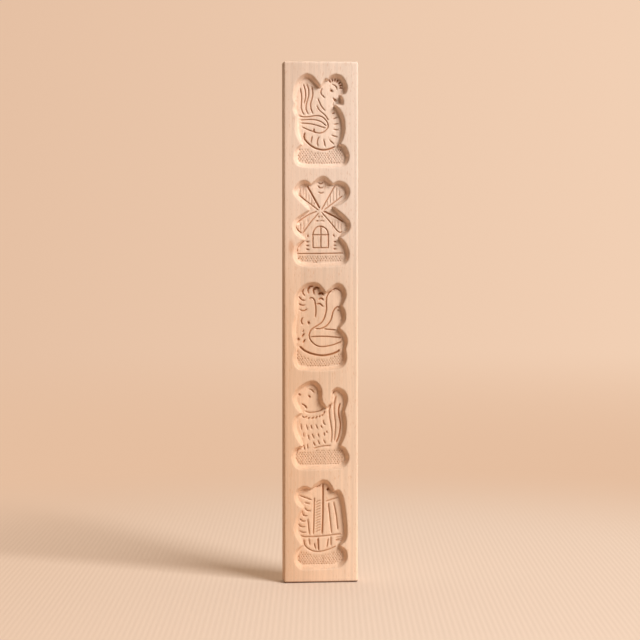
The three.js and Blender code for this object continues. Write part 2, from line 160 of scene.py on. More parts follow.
def edge_owners(triangles):
    """The triangles on each edge"""
    owners = defaultdict(list)
    for number, (a, b, c) in enumerate(triangles.tolist()):
        for start, end in ((a, b), (b, c), (c, a)):
            owners[min(start, end), max(start, end)].append(number)
    return owners


def joined(edges):
    """Edges strung end to end. Each string is its corners in order and whether each of its ends is free"""
    neighbours = defaultdict(list)
    for a, b in edges:
        neighbours[a].append(b)
        neighbours[b].append(a)
    left = {tuple(sorted(edge)) for edge in edges}
    knots = [corner for corner in neighbours if len(neighbours[corner]) != 2]
    strings = []
    for start in knots + list(neighbours):
        for second in neighbours[start]:
            if tuple(sorted((start, second))) not in left:
                continue
            string = [start, second]
            left.discard(tuple(sorted((start, second))))
            while len(neighbours[string[-1]]) == 2 and string[-1] != start:
                onward = [c for c in neighbours[string[-1]] if c != string[-2]][0]
                left.discard(tuple(sorted((string[-1], onward))))
                string.append(onward)
            free = [len(neighbours[end]) == 1 for end in (string[0], string[-1])]
            strings.append((string, free))
    return strings


def signed_area(points):
    """The area within a loop, which is above zero where it runs anticlockwise"""
    x, z = points.T
    return 0.5 * float(np.sum(x * np.roll(z, -1) - np.roll(x, -1) * z))


def read_solid():
    """The recesses of the frame's solid, from the bottom up, and the flat part of its front face"""
    points, triangles = welded(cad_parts[BOARD].data)
    depth = points[:, 1] - points[:, 1].min()
    flat = points[:, [0, 2]]
    owners = edge_owners(triangles)
    corner_depths = depth[triangles]
    level = np.ptp(corner_depths, axis=1) < SAME_LEVEL
    land = level & (corner_depths.max(1) < SAME_LEVEL)
    inside = (corner_depths.min(1) > LEAST_DEPTH) & (corner_depths.max(1) < depth.max() - LEAST_DEPTH)
    behind = level & inside
    floor_depth = float(np.median(corner_depths[behind]))
    floor = behind & (np.abs(corner_depths[:, 0] - floor_depth) < SAME_LEVEL)
    shallow = corner_depths.min(1) < floor_depth - NEXT_LEVEL

    rims = [edge for edge, near in owners.items() if land[near].sum() == 1]
    feet = [edge for edge, near in owners.items() if floor[near].any() and shallow[near].any()]
    deep = (depth > floor_depth + CUT_BOTTOMS[0]) & (depth < floor_depth + CUT_BOTTOMS[1])
    bottoms = [edge for edge in owners if deep[edge[0]] and deep[edge[1]]]

    loops = [flat[string[:-1]] for string, _ in joined(rims)]
    loops = [loop if signed_area(loop) > 0 else loop[::-1] for loop in loops]
    loops.sort(key=signed_area)
    face = loops.pop()
    loops.sort(key=lambda loop: loop[:, 1].min())
    foot_edges = flat[np.array(feet)]
    strings = [(flat[string], depth[string] - floor_depth, free) for string, free in joined(bottoms)]
    recesses = [
        recess_from(name, loop, foot_edges, floor_depth, strings)
        for name, loop in zip(FIGURES, loops)
    ]
    return recesses, face.min(0), face.max(0)


def recess_from(name, loop, foot_edges, floor_depth, strings):
    """A recess with a smooth outline and smooth knife lines"""
    corners = np.column_stack([loop, nearest_gap(loop, foot_edges[:, 0], foot_edges[:, 1])])
    breaks = np.flatnonzero(turn_at(loop) < -CORNER_TURN)
    corners = np.roll(corners, -breaks[0], axis=0)
    closed = np.vstack([corners, corners[:1]])
    stops = list(breaks - breaks[0]) + [len(corners)]
    runs = [smooth_run(closed[a:b + 1], FINE_STEP) for a, b in zip(stops, stops[1:])]
    outline = Outline([leaning(run) for run in runs])
    cuts = []
    for path, depth, free in strings:
        middle = path.mean(0)
        if (middle > outline.low).all() and (middle < outline.high).all():
            cuts.append(knife_line(path, LINE_GAINS[name] * float(depth.mean()), free))
    return Recess(name, outline, floor_depth, cuts)


def leaning(run):
    """A run of an outline whose walls run in by which way they face, apart from those at its corners"""
    along = np.gradient(run[:, :2], axis=0)
    along /= np.linalg.norm(along, axis=1)[:, None]
    walls = run[:, 2]
    full = (walls - walls.min()) / (np.ptp(walls) + LEAN_ONSET)
    across = np.where(along[:, 1] < 0, LEAN_LEFT, LEAN_RIGHT)
    lean = LEAN_UP * along[:, 0] - across * along[:, 1]
    return np.column_stack([run[:, :2], walls * (1 + full * lean)])


def turn_at(loop):
    """How far a closed loop turns to the left at each corner"""
    before = loop - np.roll(loop, 1, axis=0)
    after = np.roll(loop, -1, axis=0) - loop
    cross = before[:, 0] * after[:, 1] - before[:, 1] * after[:, 0]
    return np.arctan2(cross, (before * after).sum(1))


# Curves and distances

def unit(way):
    return way / np.linalg.norm(way)


def slope_at(before, here, after):
    """The direction of a smooth curve at one of its corners, per millimetre along it"""
    first = np.linalg.norm(here - before)
    second = np.linalg.norm(after - here)
    return (here - before) / first - (after - before) / (first + second) + (after - here) / second


def smooth_run(corners, step):
    """A smooth curve through the corners of a run, with points about a step apart"""
    reach = [2 * corners[0] - corners[1], *corners, 2 * corners[-1] - corners[-2]]
    curve = [corners[0]]
    for before, start, end, after in zip(reach, reach[1:], reach[2:], reach[3:]):
        length = np.linalg.norm(end - start)
        leaving = slope_at(before, start, end) * length
        arriving = slope_at(start, end, after) * length
        pieces = max(1, round(length / step))
        for t in np.arange(1, pieces + 1) / pieces:
            curve.append((2 * t**3 - 3 * t**2 + 1) * start + (t**3 - 2 * t**2 + t) * leaving
                         + (3 * t**2 - 2 * t**3) * end + (t**3 - t**2) * arriving)
    return np.array(curve)


def bent_run(corners):
    """A smooth curve through the corners, apart from those where it turns sharply"""
    ways = np.diff(corners, axis=0)
    headings = np.arctan2(ways[:, 1], ways[:, 0])
    turns = np.abs((np.diff(headings) + math.pi) % (2 * math.pi) - math.pi)
    stops = [0, *(np.flatnonzero(turns > CORNER_BEND) + 1), len(corners) - 1]
    runs = [smooth_run(corners[a:b + 1], FINE_STEP) for a, b in zip(stops, stops[1:])]
    return np.vstack([runs[0], *(run[1:] for run in runs[1:])])


def evenly(curve, step):
    """Points along a curve, its ends included, spaced evenly at about the step"""
    lengths = np.linalg.norm(np.diff(curve[:, :2], axis=0), axis=1)
    along = np.concatenate([[0], np.cumsum(lengths)])
    places = np.linspace(0, along[-1], max(2, round(along[-1] / step) + 1))
    return np.column_stack([np.interp(places, along, column) for column in curve.T])


def nearest_gap(points, starts, ends):
    """How far each point is from the nearest of some straight pieces"""
    ways = ends - starts
    offset = points[:, None, :] - starts[None]
    along = np.clip((offset * ways).sum(2) / (ways**2).sum(1), 0, 1)
    return np.linalg.norm(offset - along[..., None] * ways, axis=2).min(1)


class Outline:
    """The edge of a recess: smooth runs, anticlockwise, of points with x, z and the wall's run there"""

    def __init__(self, runs):
        self.runs = runs
        self.ring = np.vstack([run[:-1] for run in runs])
        self.flat = self.ring[:, :2]
        self.low, self.high = self.flat.min(0), self.flat.max(0)
        self.ways = np.roll(self.flat, -1, axis=0) - self.flat
        self.lengths = np.linalg.norm(self.ways, axis=1)
        self.left = np.column_stack([-self.ways[:, 1], self.ways[:, 0]]) / self.lengths[:, None]
        self.tree = KDTree(len(self.flat))
        for number, (x, z) in enumerate(self.flat):
            self.tree.insert((x, z, 0), number)
        self.tree.balance()

    def beside(self, points, piece):
        """How far each point is from its piece of the outline, how far along it is, and whether inside"""
        offset = points - self.flat[piece]
        along = np.clip((offset * self.ways[piece]).sum(1) / self.lengths[piece]**2, 0, 1)
        gap = np.linalg.norm(offset - along[:, None] * self.ways[piece], axis=1)
        return gap, along, (offset * self.left[piece]).sum(1) > 0

    def inward(self, points):
        """How far each point lies in from the outline, below 0 on the land, and the wall's run there"""
        after = np.array([self.tree.find((x, z, 0))[1] for x, z in points])
        before = (after - 1) % len(self.flat)
        gap, along, within = self.beside(points, after)
        gap_before, along_before, within_before = self.beside(points, before)
        at_corner = (along_before >= 1) & (along <= 0)
        corner_way = self.left[before] + self.left[after]
        within_corner = ((points - self.flat[after]) * corner_way).sum(1) > 0
        first = gap_before < gap
        piece = np.where(first, before, after)
        share = np.where(first, along_before, along)
        within = np.where(at_corner, within_corner, np.where(first, within_before, within))
        gap = np.minimum(gap, gap_before)
        wall = self.ring[:, 2]
        run = wall[piece] * (1 - share) + wall[(piece + 1) % len(wall)] * share
        return np.where(within, gap, -gap), run


# The carving's depth

def eased(value, reach):
    """The value above zero and zero below it, with a rounded bend between"""
    bend = (value + reach)**2 / (4 * reach)
    return np.where(np.abs(value) < reach, bend, np.maximum(value, 0))


def recess_depth(points, recess):
    """The depth of the recess at each point, without its cuts"""
    inward, run = recess.outline.inward(points)
    share = np.minimum(eased(inward, ARRIS) / run, 1)
    near_foot = np.clip(1 - (inward - run) / FOOT_REACH, 0, 1)
    floor = recess.floor + FOOT_DEPTH * near_foot**2
    waves = np.array([noise.noise(Vector((x, z, 0)) / FLOOR_WAVE_LENGTH) for x, z in points])
    return floor * (1 - (1 - share)**WALL_CURVE) + FLOOR_WAVE * waves * share**2


def cut_depth(points, cuts):
    """How much deeper the knife goes at each point"""
    starts = np.vstack([cut.path[:-1] for cut in cuts])
    ends = np.vstack([cut.path[1:] for cut in cuts])
    depths = np.concatenate([np.column_stack([cut.depth[:-1], cut.depth[1:]]) for cut in cuts])
    reach = depths.max() / CUT_SLOPE + MARGIN
    lowest = np.minimum(starts[:, 1], ends[:, 1]) - reach
    highest = np.maximum(starts[:, 1], ends[:, 1]) + reach
    deeper = np.zeros(len(points))
    order = np.argsort(points[:, 1])
    for rows in np.array_split(order, math.ceil(len(points) / BATCH)):
        part = points[rows]
        near = (lowest < part[-1, 1]) & (highest > part[0, 1])
        if near.any():
            deeper[rows] = deepest(part, starts[near], ends[near], depths[near])
    return np.where(deeper > 1e-4, deeper, 0)


def deepest(points, starts, ends, depths):
    """The deepest that any of some straight cuts goes at each point"""
    ways = ends - starts
    offset = points[:, None, :] - starts[None]
    along = np.clip((offset * ways).sum(2) / (ways**2).sum(1), 0, 1)
    gap = ((offset - along[..., None] * ways)**2).sum(2)
    depth = depths[:, 0] * (1 - along) + depths[:, 1] * along
    bowl = np.sqrt(gap + CUT_EDGE**2) - CUT_EDGE
    return eased(depth - CUT_SLOPE * bowl, CUT_EDGE).max(1)


# The cuts

def knife_line(corners, depth, free=(True, True)):
    """A knife line through the corners. Its free ends are drawn out and fade. A short bold one is a dot"""
    corners = [np.array(corner, float) for corner in corners]
    span = corners[-1] - corners[0]
    if np.linalg.norm(span) < DOT_LENGTH and depth > BOLD_DEPTH:
        middle = (corners[0] + corners[-1]) / 2
        reach = DOT_REACH * unit(span)
        return Cut(np.array([middle - reach, middle, middle + reach]), np.full(3, DOT_DEPTH))
    if np.linalg.norm(span) < SHORT_LENGTH:
        depth *= SHORT_GAIN
    overrun = min(OVERRUN, OVERRUN_SHARE * np.linalg.norm(span))
    if free[0]:
        corners.insert(0, corners[0] + overrun * unit(corners[0] - corners[1]))
    if free[1]:
        corners.append(corners[-1] + overrun * unit(corners[-1] - corners[-2]))
    path = evenly(bent_run(np.array(corners)), CUT_STEP)
    lengths = np.linalg.norm(np.diff(path, axis=0), axis=1)
    along = np.concatenate([[0], np.cumsum(lengths)])
    taper = min(TAPER, TAPER_SHARE * along[-1])
    fade = np.ones(len(path))
    for is_free, from_end in zip(free, (along, along[-1] - along)):
        if is_free:
            fade = np.minimum(fade, np.sin(np.clip(from_end / taper, 0, 1) * math.pi / 2))
    return Cut(path, depth * fade)


def pit(x, z, depth=PIT_DEPTH):
    """A short upright stab of the gouge"""
    reach = PIT_LENGTH / 2
    path = np.array([[x, z - reach], [x, z], [x, z + reach]])
    return Cut(path, depth * np.array([PIT_ENDS, 1, PIT_ENDS]))


def stipple(rng, z_from, top):
    """Rows of small pits, each row half a pitch from the last, up to a line through the top's points"""
    xs, zs = zip(*top)
    across, up = PIT_STRAY
    pits = []
    for number, z in enumerate(np.arange(z_from, max(zs), PIT_RISE)):
        for x in np.arange(xs[0] + PIT_PITCH / 2 * (number % 2), xs[-1], PIT_PITCH):
            if z < np.interp(x, xs, zs):
                spot = x + rng.uniform(-across, across), z + rng.uniform(-up, up)
                pits.append(pit(*spot, depth=PIT_DEPTH * rng.uniform(*PIT_SPREAD)))
    return pits


def ship_details(rng):
    cuts = stipple(rng, 3.4, [(-22, 17), (-14, 17), (-9, 14), (-3, 12.8), (4, 13.5), (11, 16.5), (22, 17)])
    for number in range(ROPE_TURNS):
        z = ROPE_LOW + ROPE_RISE * number
        cuts.append(knife_line([(-4.6, z), (-2.2, z + 1.5), (0.4, z + 2.3)], ROPE_DEPTH))
    cuts.append(knife_line([(7.5, 76.4), (7.6, 77.5)], DOT_DEPTH))  # hole in the pennant
    for z in (26.6, 28.4, 30.0):  # ripples behind the stern
        cuts.append(knife_line([(15.2, z), (18.6, z + 0.6), (21.8, z)], SCRATCH_DEPTH))
    cuts.append(knife_line([(-17, 58.7), (-17.4, 56.2), (-17, 53.8)], SCRATCH_DEPTH))
    return cuts


def dog_details(rng):
    cuts = stipple(rng, 4, [(-23, 17), (-8, 17), (-2, 18.6), (5, 19.6), (13, 19.6), (22, 18)])
    cuts.append(knife_line([(12, 70.5), (10.4, 65), (9.2, 58)], 1.4))  # edge of the tail
    return cuts


def bird_details(rng):
    cuts = stipple(rng, 3.2, [(-23, 20), (-18, 16), (-10, 12), (0, 10.6), (9, 12), (17, 15.5), (22, 17)])
    cuts.append(knife_line([(16.7, 58.6), (18.3, 57.7)], HAIR_DEPTH))
    cuts.append(knife_line([(-15.8, 39.5), (-16.9, 37.4)], HAIR_DEPTH))
    bold_hooks = (
        (1.7, (-11.6, 76), (-11.8, 78.5), (-9.6, 81), (-6.6, 81.6)),
        (1.9, (-6.2, 75), (-6.2, 78.6), (-4, 80.2), (-0.6, 79.6)),
        (1.9, (-1.8, 73.2), (-0.2, 74.9), (2, 74.7), (3.6, 72.4)),
        (1.6, (-1.6, 68.6), (0.8, 69.7), (3.2, 67.8)),
        (1.5, (-3.4, 63.9), (-0.6, 64.4), (2.4, 61.7)),
    )  # hooks of the crest that are cut twice: depth and corners
    for depth, *corners in bold_hooks:
        cuts.append(knife_line(corners, depth))
    return cuts


def windmill_details(rng):
    cuts = stipple(rng, 2.8, [(-22, 10.2), (22, 10.2)])
    uprights = (
        (-19.5, 69, 77), (-16.5, 69, 77), (-13.9, 64, 74), (-11, 63, 70), (-8.3, 59, 67), (-6, 59, 62),
        (6.7, 58, 64), (9.4, 61, 69), (12.3, 62, 73), (15.4, 64, 76), (18.3, 67, 74),
        (-19, 34, 42), (-15.8, 33, 44), (-11.9, 42, 46),
        (11.7, 37, 45), (14, 37, 45), (17.1, 37, 45), (20, 35, 42),
    )  # strings of the four sails: x, and where each starts and ends
    for x, start, end in uprights:
        cuts.append(knife_line([(x, start), (x, end)], STRING_DEPTH))
    cuts.append(knife_line([(-15.4, 50), (-17.9, 48.4), (-20.4, 46.5)], HAIR_DEPTH))
    cuts.append(pit(-19.5, 25))
    return cuts


def rooster_details(rng):
    cuts = stipple(rng, 3.4, [(-22, 18), (-14, 19), (-8, 15.5), (0, 14), (8, 15.5), (14, 19), (22, 17)])
    cuts.append(knife_line([(12.5, 62.8), (12.3, 58.8)], SCRATCH_DEPTH))
    cuts.append(knife_line([(12.4, 66.9), (15.4, 63.9)], 1.8))  # under the beak
    for degrees in COMB_TEETH:
        way = np.array([math.cos(math.radians(degrees)), math.sin(math.radians(degrees))])
        cuts.append(knife_line([np.array(COMB_MIDDLE) + reach * way for reach in COMB_REACH], COMB_DEPTH))
    return cuts


DETAILS = {
    "ship": ship_details,
    "dog": dog_details,
    "bird": bird_details,
    "windmill": windmill_details,
    "rooster": rooster_details,
}


def with_details(recess):
    """The recess with its finest cuts, drawn up from its lowest point, without the pits off its floor"""
    rng = random.Random(recess.name)
    cuts = list(recess.cuts)
    for cut in DETAILS[recess.name](rng):
        path = cut.path + np.array([LINE_SHIFT, recess.outline.low[1]])
        inward, run = recess.outline.inward(path)
        is_pit = len(path) == 3
        if not is_pit or (inward > PIT_MARGIN * run).all():
            cuts.append(Cut(path, cut.depth))
    return recess._replace(cuts=cuts)


# The mesh

class Sieve:
    """Keeps the points that are at least a gap away from all that it kept before"""

    def __init__(self):
        self.points = []
        self.cells = defaultdict(list)

    def add(self, points, gap):
        """Adds what it can, and gives the number of each point kept"""
        reach = math.ceil(gap)
        kept = []
        for x, z in points:
            column, row = math.floor(x), math.floor(z)
            near = (
                self.points[number]
                for i in range(column - reach, column + reach + 1)
                for k in range(row - reach, row + reach + 1)
                for number in self.cells.get((i, k), ())
            )
            if all((x - a)**2 + (z - b)**2 >= gap**2 for a, b in near):
                kept.append(len(self.points))
                self.cells[column, row].append(len(self.points))
                self.points.append((float(x), float(z)))
        return kept


def spokes(recess):
    """Places along the outline, the way inward from each, and the wall's run, fanned out at the corners"""
    bases, ways = [], []
    runs = [evenly(run, OUTLINE_STEP) for run in recess.outline.runs]
    for run, following in zip(runs, runs[1:] + runs[:1]):
        along = np.gradient(run[:, :2], axis=0)
        inward = np.column_stack([-along[:, 1], along[:, 0]])
        inward /= np.linalg.norm(inward, axis=1)[:, None]
        bases.extend(run)
        ways.extend(inward)
        onward = following[1, :2] - following[0, :2]
        first = math.atan2(inward[-1][1], inward[-1][0])
        last = math.atan2(onward[0], -onward[1])
        turn = (last - first + math.pi) % (2 * math.pi) - math.pi
        steps = max(1, round(abs(turn) / FAN_STEP))
        for angle in first + turn * np.arange(1, steps) / steps:
            bases.append(run[-1])
            ways.append((math.cos(angle), math.sin(angle)))
    bases = np.array(bases)
    return bases[:, :2], np.array(ways), bases[:, 2]


def row_points(recess, offsets):
    """Points at offsets from the outline, where no other stretch of it is nearer"""
    bases, ways, _ = spokes(recess)
    points = bases + ways * offsets[:, None]
    inward, _ = recess.outline.inward(points)
    leeway = 0.03 + 0.04 * np.abs(offsets)
    return points[np.abs(inward - offsets) < leeway]


def hex_grid(low, high, pitch):
    """Points in rows, each row half a pitch from the last"""
    rise = pitch * math.sqrt(3) / 2
    rows = []
    for number, z in enumerate(np.arange(low[1], high[1], rise)):
        xs = np.arange(low[0] + pitch / 2 * (number % 2), high[0], pitch)
        rows.append(np.column_stack([xs, np.full(len(xs), z)]))
    return np.vstack(rows)


def beside(cut, share):
    """Points on both sides of a cut, at a share of its half width, and the ends beyond it"""
    along = np.gradient(cut.path, axis=0)
    across = np.column_stack([-along[:, 1], along[:, 0]])
    across /= np.linalg.norm(across, axis=1)[:, None]
    offset = (share * (cut.depth / CUT_SLOPE + CUT_EDGE))[:, None]
    return np.vstack([cut.path + across * offset, cut.path - across * offset])


def frame_points(low, high, step):
    """Points round a rectangle, anticlockwise, with one in each corner"""
    corners = [(low[0], low[1]), (high[0], low[1]), (high[0], high[1]), (low[0], high[1])]
    rows = []
    for start, end in zip(corners, corners[1:] + corners[:1]):
        start, end = np.array(start), np.array(end)
        count = max(1, round(np.linalg.norm(end - start) / step))
        rows.append(start + (end - start) * (np.arange(count) / count)[:, None])
    return np.vstack(rows)


def front_sheet(recesses, low, high):
    """The carved front as flat points, their depths and the triangles between them"""
    sieve = Sieve()
    edges = []
    rim = sieve.add(frame_points(low, high, RIM_STEP), RIM_GAP)
    edges += list(zip(rim, rim[1:] + rim[:1]))
    for recess in recesses:
        bases, _, _ = spokes(recess)
        ring = sieve.add(bases, OUTLINE_GAP)
        edges += list(zip(ring, ring[1:] + ring[:1]))
        for cut in recess.cuts:
            middle = sieve.add(cut.path, CUT_GAP)
            edges += list(zip(middle, middle[1:]))
    for recess in recesses:
        _, _, run = spokes(recess)
        for offset in (-ARRIS, -ARRIS / 2, ARRIS / 2, ARRIS):
            sieve.add(row_points(recess, np.full(len(run), offset)), OUTLINE_GAP)
        for share, gap in CUT_SHARES:
            for cut in recess.cuts:
                sieve.add(beside(cut, share), gap)
        for share in WALL_SHARES:
            sieve.add(row_points(recess, share * run), WALL_GAP)
        for offset in LAND_OFFSETS:
            sieve.add(row_points(recess, np.full(len(run), offset)), LAND_GAP * -offset)
        grid = hex_grid(recess.outline.low, recess.outline.high, FLOOR_GRID)
        inward, wall = recess.outline.inward(grid)
        sieve.add(grid[inward > FLOOR_START * wall], FLOOR_GAP)
    sieve.add(frame_points(low + RIM_HOLD, high - RIM_HOLD, RIM_STEP), RIM_GAP)
    sieve.add(hex_grid(low + LAND_GRID, high - LAND_GRID / 2, LAND_GRID), LAND_GAP * LAND_GRID)
    flat = [Vector(point) for point in sieve.points]
    corners, _, faces, *_ = delaunay_2d_cdt(flat, edges, [], 0, MEET, False)
    points = np.array([tuple(corner) for corner in corners])
    return points, *carved_depth(points, recesses), faces


def carved_depth(points, recesses):
    """How deep the front is at each point, and how much of that is a cut of the knife"""
    depth, cut = np.zeros((2, len(points)))
    for recess in recesses:
        low, high = recess.outline.low - MARGIN, recess.outline.high + MARGIN
        near = ((points > low) & (points < high)).all(1)
        bare = recess_depth(points[near], recess)
        fade = np.clip((bare / recess.floor - CLIMB_END) / CLIMB_SPAN, 0, 1)
        cut[near] = cut_depth(points[near], recess.cuts) * fade
        depth[near] = bare + cut[near]
    return depth, cut


def rim_rings(low, high, thickness, radius):
    """Rings of points from the front face round the edges to the back, and the way out at each"""
    base, ways = [], []
    corners = [(high[0], low[1]), (high[0], high[1]), (low[0], high[1]), (low[0], low[1])]
    sides = frame_points(low, high, RIM_STEP)
    sides = np.roll(sides, -1, axis=0)
    heading = -math.pi / 2
    for point in sides:
        base.append(point)
        ways.append(heading)
        if any(np.allclose(point, corner) for corner in corners):
            for _ in range(ROUND_STEPS):
                heading += math.pi / 2 / ROUND_STEPS
                base.append(point)
                ways.append(heading)
    base = np.array(base)
    out = np.column_stack([np.cos(ways), np.sin(ways)])
    bends = np.arange(ROUND_STEPS + 1) / ROUND_STEPS * math.pi / 2
    rings = [(radius * math.sin(bend), radius * (1 - math.cos(bend))) for bend in bends]
    rings += [(reach, thickness - depth) for reach, depth in reversed(rings)]
    return [(base + out * reach, depth) for reach, depth in rings]


def back_sheet(low, high):
    """The flat back as flat points and the triangles between them"""
    sieve = Sieve()
    sieve.add(frame_points(low, high, RIM_STEP), RIM_GAP)
    sieve.add(hex_grid(low + BACK_GRID / 2, high - BACK_GRID / 2, BACK_GRID), BACK_GRID / 2)
    flat = [Vector(point) for point in sieve.points]
    points, _, faces, *_ = delaunay_2d_cdt(flat, [], [], 0, MEET, False)
    return points, faces


def carved_board():
    """The whole board as one closed mesh"""
    recesses, low, high = read_solid()
    recesses = [with_details(recess) for recess in recesses]
    near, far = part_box(BOARD)
    front = near.y / MM
    thickness = (far.y - near.y) / MM
    radius = low[1] - near.z / MM
    mesh = bmesh.new()
    # patina and painted shade: the colour is darker brown the deeper the knife cut
    patina = mesh.verts.layers.float.new("patina")

    def add_point(point, depth, cut=0.0):
        vertex = mesh.verts.new((point[0] * MM, (front + depth) * MM, point[1] * MM))
        vertex[patina] = min(cut / PATINA_AND_SHADE_DEPTH, DARKEST)
        return vertex

    points, depths, cuts, faces = front_sheet(recesses, low, high)
    corners = [add_point(point, depth, cut) for point, depth, cut in zip(points, depths, cuts)]
    for face in faces:
        mesh.faces.new([corners[number] for number in face])

    rings = [
        [add_point(point, depth) for point in ring]
        for ring, depth in rim_rings(low, high, thickness, radius)
    ]
    for ring, following in zip(rings, rings[1:]):
        for i in range(len(ring)):
            k = (i + 1) % len(ring)
            mesh.faces.new((ring[i], following[i], following[k], ring[k]))

    points, faces = back_sheet(low, high)
    corners = [add_point(point, thickness) for point in points]
    for face in faces:
        mesh.faces.new([corners[number] for number in reversed(face)])

    bmesh.ops.remove_doubles(mesh, verts=mesh.verts, dist=WELD * MM)
    bmesh.ops.recalc_face_normals(mesh, faces=mesh.faces)
    for face in mesh.faces:
        face.smooth = True
    data = bpy.data.meshes.new("carved_board")
    mesh.to_mesh(data)
    mesh.free()
    board = bpy.data.objects.new("carved_board", data)
    bpy.context.scene.collection.objects.link(board)
    return board


# Materials

def linear(red, green, blue):
    """A screen colour, 0 to 255, as the shader wants it"""
    return tuple((channel / 255)**2.2 for channel in (red, green, blue)) + (1,)


# painted light: the wood's colour at the face's four corners, paler to the right, towards the lamp, and up
# the board
WOOD_LOW_LEFT = linear(214, 174, 141)
WOOD_LOW_RIGHT = linear(225, 194, 167)
WOOD_HIGH_LEFT = linear(227, 196, 172)
WOOD_HIGH_RIGHT = linear(231, 207, 188)
FLECK_BROWN = linear(203, 148, 108)
KNOT_BROWN = linear(198, 138, 98)
STREAK_BROWN = linear(190, 138, 100)
PATINA_AND_SHADE_BROWN = linear(172, 106, 54)
# painted shadow along the edge the board stands on
CONTACT_SHADOW_BROWN = linear(100, 62, 38)
PATINA_AND_SHADE_SHARE = 0.62  # how much of the brown of its patina and painted shade a cut has
KNOT = (-0.0285, -0.01, 0.323)  # a knot-like spot on the face, in metres
STREAK = (-0.0012, -0.01, 0.196)  # and a thin streak


class Shader:
    """A material's or a world's node tree, with short calls for its nodes"""

    def __init__(self, owner):
        owner.use_nodes = True
        self.nodes = owner.node_tree.nodes
        self.links = owner.node_tree.links
        self.nodes.clear()

    def node(self, kind, inputs=None, **settings):
        node = self.nodes.new("ShaderNode" + kind)
        for name, value in settings.items():
            setattr(node, name, value)
        for name, value in (inputs or {}).items():
            if isinstance(value, bpy.types.NodeSocket):
                self.links.new(value, node.inputs[name])
            else:
                node.inputs[name].default_value = value
        return node

    def math(self, operation, first, second=0.0):
        return self.node("Math", {0: first, 1: second}, operation=operation).outputs[0]

    def vector(self, operation, first, second):
        return self.node("VectorMath", {0: first, 1: second}, operation=operation).outputs[0]

    def scaled(self, place, scale):
        return self.vector("MULTIPLY", place, scale)

    def length(self, way):
        return self.node("VectorMath", {0: way}, operation="LENGTH").outputs[1]

    def noise(self, place, detail=2.0, roughness=0.5):
        inputs = {"Vector": place, "Scale": 1.0, "Detail": detail, "Roughness": roughness}
        return self.node("TexNoise", inputs).outputs[0]

    def ramp(self, value, start, end, low=0.0, high=1.0, smooth=True):
        inputs = {"Value": value, "From Min": start, "From Max": end, "To Min": low, "To Max": high}
        kind = "SMOOTHSTEP" if smooth else "LINEAR"
        return self.node("MapRange", inputs, interpolation_type=kind, clamp=True).outputs[0]

    def mix(self, share, first, second, blend="MIX"):
        node = self.node("Mix", data_type="RGBA", blend_type=blend)
        for number, value in ((0, share), (6, first), (7, second)):
            if isinstance(value, bpy.types.NodeSocket):
                self.links.new(value, node.inputs[number])
            else:
                node.inputs[number].default_value = value
        return node.outputs[2]

    def grey(self, value):
        return self.node("CombineColor", {0: value, 1: value, 2: value}).outputs[0]

    def times(self, colour, level):
        """The colour, brighter or darker"""
        return self.mix(1.0, colour, self.grey(level), "MULTIPLY")

    def end(self, surface, kind="OutputMaterial"):
        self.links.new(surface, self.node(kind).inputs["Surface"])


def beech_tone_and_painted_light(s, place, axes):
    """Beech's colour with painted light and shade: paler to the right, towards the lamp, and up the board,
    a little darker at its foot, and with a soft cloudiness
    """
    across = s.ramp(axes[0], -0.036, 0.036, smooth=False)
    low = s.mix(across, WOOD_LOW_LEFT, WOOD_LOW_RIGHT)
    high = s.mix(across, WOOD_HIGH_LEFT, WOOD_HIGH_RIGHT)
    colour = s.mix(s.ramp(axes[2], 0.22, 0.4), low, high)
    # painted shade: a little darker over the lowest 13 cm of the board
    colour = s.times(colour, s.ramp(axes[2], 0.0, 0.13, 0.985, 1.0))
    cloud = s.noise(s.scaled(place, (22, 22, 5)), detail=3)
    return s.times(colour, s.ramp(cloud, 0.35, 0.65, 0.95, 1.05))


def grain(s, colour, place):
    """The colour with rings, fibres and flecks that run up the board, and the last two on their own"""
    bend = s.noise(s.scaled(place, (9, 9, 2.2)))
    bent = s.vector("ADD", place, s.scaled(s.grey(bend), (0.012, 0.012, 0)))
    years = s.noise(s.scaled(bent, (260, 260, 2.5)), detail=3, roughness=0.6)
    colour = s.times(colour, s.ramp(years, 0.3, 0.7, 0.93, 1.045))
    fibre = s.noise(s.scaled(bent, (1500, 1500, 45)), detail=2, roughness=0.6)
    colour = s.times(colour, s.ramp(fibre, 0.3, 0.7, 0.965, 1.03))
    rays = s.noise(s.scaled(bent, (1150, 330, 230)), detail=1.5)
    fleck = s.ramp(rays, 0.6, 0.72)
    colour = s.mix(s.math("MULTIPLY", fleck, 0.4), colour, FLECK_BROWN)
    return colour, fibre, fleck


def marks(s, colour, place):
    """The colour with a knot-like spot and a thin streak on the face"""
    spot = s.vector("SUBTRACT", place, KNOT)
    reach = s.length(s.scaled(spot, (1, 0.5, 0.4)))
    colour = s.mix(s.ramp(reach, 0.001, 0.0042, 0.5, 0), colour, KNOT_BROWN)
    streak = s.vector("SUBTRACT", place, STREAK)
    reach = s.length(s.scaled(streak, (1, 0.5, 0.1)))
    return s.mix(s.ramp(reach, 0.0002, 0.0009, 0.3, 0), colour, STREAK_BROWN)


def cut_patina_and_painted_shade(s, colour, axes):
    """The colour, paler in the recesses, with patina and painted shade in the cuts, and a painted contact
    shadow at the edge the board stands on
    """
    colour = s.times(colour, s.ramp(axes[1], -0.0097, -0.006, 1.0, 1.05))
    # patina and painted shade in the cuts, the deeper ones darker
    patina = s.node("Attribute", attribute_name="patina").outputs["Fac"]
    colour = s.mix(s.math("MULTIPLY", patina, PATINA_AND_SHADE_SHARE), colour, PATINA_AND_SHADE_BROWN)
    # painted shadow: dark brown over the lowest 2 mm, where the board meets the floor
    return s.mix(s.ramp(axes[2], 0.0008, 0.0024, 0.9, 0), colour, CONTACT_SHADOW_BROWN)


